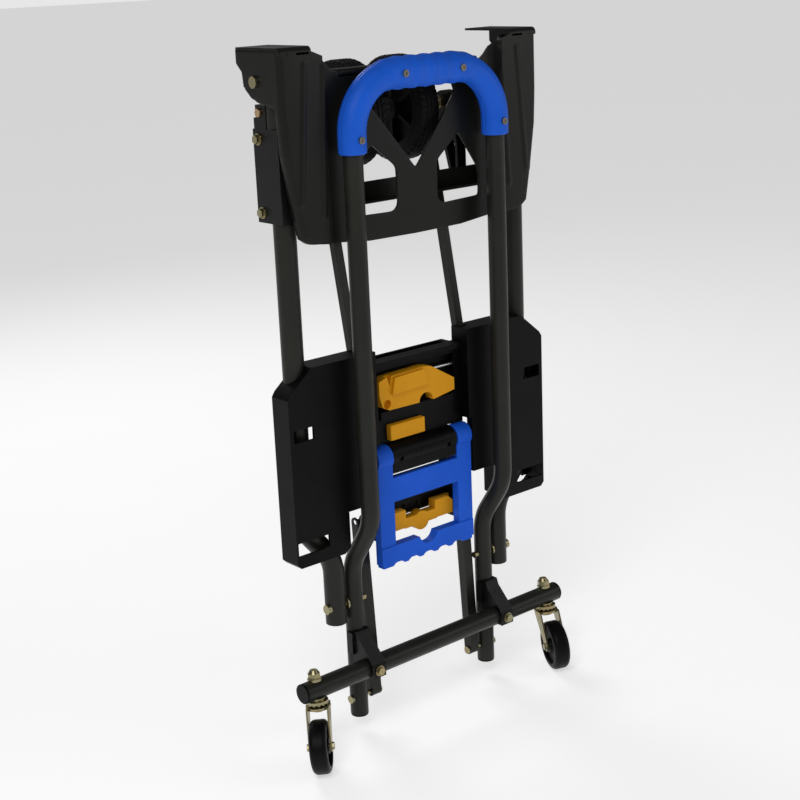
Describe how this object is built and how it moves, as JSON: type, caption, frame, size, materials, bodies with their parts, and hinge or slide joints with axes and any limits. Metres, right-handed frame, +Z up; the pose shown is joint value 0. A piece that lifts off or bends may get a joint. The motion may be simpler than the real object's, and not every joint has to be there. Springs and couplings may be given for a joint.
{
  "type": "folding platform cart",
  "caption": "Folding hand cart shown folded upright: looped tube handle with a padded grip, folding toe plate, central lock casing with a lever, rear wheels and swivel casters.",
  "frame": {"origin": "on the floor, in the middle of the folded cart's footprint; the plane midway between the side tubes is at X = 0.0111", "axes": "+Z up along the folded cart, +X across it, +Y towards the back, where the large wheels are; the grip and casing face -Y"},
  "size_m": [0.4442, 0.204, 0.8273],
  "materials": {
    "tube_paint": "semi-gloss dark grey",
    "plate_paint": "semi-gloss dark grey",
    "casing_plastic": "fine grained black",
    "grip_plastic": "blue, light sheen",
    "lever_plastic": "blue, light sheen",
    "latch_plastic": "yellow, light sheen",
    "zinc": "yellow passivated zinc",
    "copper_zinc": "copper-coloured plating",
    "steel": "turned bright steel",
    "tyre_rubber": "black",
    "hub_plastic": "moulded black",
    "caster_tyre": "black"
  },
  "bodies": {
    "frame": {"frame_tube_left": "tube_paint", "frame_tube_right": "tube_paint", "frame_plugs": "casing_plastic", "side_bracket_left": "tube_paint", "side_bracket_right": "tube_paint", "side_bracket_bolts": "zinc", "lug_bolts": "copper_zinc", "toe_pivot_bolts": "zinc", "cross_plate": "tube_paint", "axle_lug_left": "tube_paint", "axle_lug_right": "tube_paint", "axle": "steel", "axle_nuts": "zinc", "brace_left": "tube_paint", "brace_right": "tube_paint", "brace_bolts": "zinc", "casing": "casing_plastic", "casing_bolts": "zinc", "lever_barrel": "casing_plastic", "lever_pin": "steel", "latch_pins": "steel", "pivot_pins": "zinc", "pivot_washers": "zinc"},
    "handle": {"handle": "tube_paint", "grip_front": "grip_plastic", "grip_back": "grip_plastic", "grip_screws": "zinc", "tail_plugs": "casing_plastic", "tail_pins": "zinc", "crossbar": "tube_paint", "crossbar_caps": "casing_plastic", "caster_arm_left": "tube_paint", "caster_arm_right": "tube_paint", "arm_bolts": "zinc", "caster_nuts": "zinc", "caster_stem_left": "zinc", "caster_stem_right": "zinc"},
    "toe_plate": {"toe_plate": "plate_paint"},
    "straps": {"strap_left": "tube_paint", "strap_right": "tube_paint"},
    "lock_bar": {"lock_bar": "casing_plastic"},
    "lever": {"release_lever": "lever_plastic"},
    "upper_latch": {"upper_latch": "latch_plastic"},
    "lower_latch": {"lower_latch": "latch_plastic"},
    "button": {"latch_button": "latch_plastic"},
    "caster_left": {"caster_fork_left": "zinc", "caster_axle_left": "zinc"},
    "caster_right": {"caster_fork_right": "zinc", "caster_axle_right": "zinc"},
    "caster_wheel_left": {"caster_wheel_left": "caster_tyre"},
    "caster_wheel_right": {"caster_wheel_right": "caster_tyre"},
    "wheel_left": {"tyre_left": "tyre_rubber", "hub_left": "hub_plastic"},
    "wheel_right": {"tyre_right": "tyre_rubber", "hub_right": "hub_plastic"}
  },
  "joints": [
    {"name": "handle_fold", "type": "hinge", "parent": "frame", "child": "handle", "pos_m": [0.01115, -0.01602, 0.171], "axis": [1, 0, 0], "range_deg": [0, 97]},
    {"name": "toe_plate_fold", "type": "hinge", "parent": "frame", "child": "toe_plate", "pos_m": [0.01115, 0.00098, 0.79], "axis": [-1, 0, 0], "range_deg": [0, 90]},
    {"name": "strap_swing", "type": "hinge", "parent": "handle", "child": "straps", "pos_m": [0.01115, -0.01602, 0.043], "axis": [1, 0, 0], "range_deg": [-62.5, 0]},
    {"name": "lock_slide", "type": "slide", "parent": "frame", "child": "lock_bar", "axis": [0, 0, 1], "range_m": [0, 0.112]},
    {"name": "lever_swing", "type": "hinge", "parent": "frame", "child": "lever", "pos_m": [0.01115, -0.02201, 0.341], "axis": [-1, 0, 0], "range_deg": [0, 40]},
    {"name": "upper_latch_tilt", "type": "hinge", "parent": "frame", "child": "upper_latch", "pos_m": [0.01115, -0.01602, 0.432], "axis": [-1, 0, 0], "range_deg": [0, 10]},
    {"name": "lower_latch_tilt", "type": "hinge", "parent": "frame", "child": "lower_latch", "pos_m": [0.01115, -0.01502, 0.258], "axis": [1, 0, 0], "range_deg": [0, 8]},
    {"name": "button_press", "type": "slide", "parent": "frame", "child": "button", "axis": [0, 1, 0], "range_m": [0, 0.004]},
    {"name": "caster_swivel_left", "type": "hinge", "parent": "handle", "child": "caster_left", "pos_m": [-0.17985, -0.04301, 0.0926], "axis": [0, 0.1219, 0.9925], "continuous": true},
    {"name": "caster_swivel_right", "type": "hinge", "parent": "handle", "child": "caster_right", "pos_m": [0.20214, -0.04301, 0.0926], "axis": [0, 0.1219, 0.9925], "continuous": true},
    {"name": "caster_spin_left", "type": "hinge", "parent": "caster_left", "child": "caster_wheel_left", "pos_m": [-0.19486, -0.06663, 0.03236], "axis": [0.7313, -0.6769, 0.0831], "continuous": true},
    {"name": "caster_spin_right", "type": "hinge", "parent": "caster_right", "child": "caster_wheel_right", "pos_m": [0.19284, -0.07044, 0.03283], "axis": [0.9063, -0.4195, 0.0515], "continuous": true},
    {"name": "wheel_spin_left", "type": "hinge", "parent": "frame", "child": "wheel_left", "pos_m": [-0.02885, 0.03998, 0.741], "axis": [1, 0, 0], "continuous": true},
    {"name": "wheel_spin_right", "type": "hinge", "parent": "frame", "child": "wheel_right", "pos_m": [0.05115, 0.03998, 0.741], "axis": [1, 0, 0], "continuous": true}
  ],
  "couplings": [
    {"joint": "toe_plate_fold", "follows": "handle_fold", "ratio": 0.9278},
    {"joint": "strap_swing", "follows": "handle_fold", "ratio": -0.642},
    {"joint": "lock_slide", "follows": "handle_fold", "m_per_rad": 0.0661}
  ]
}
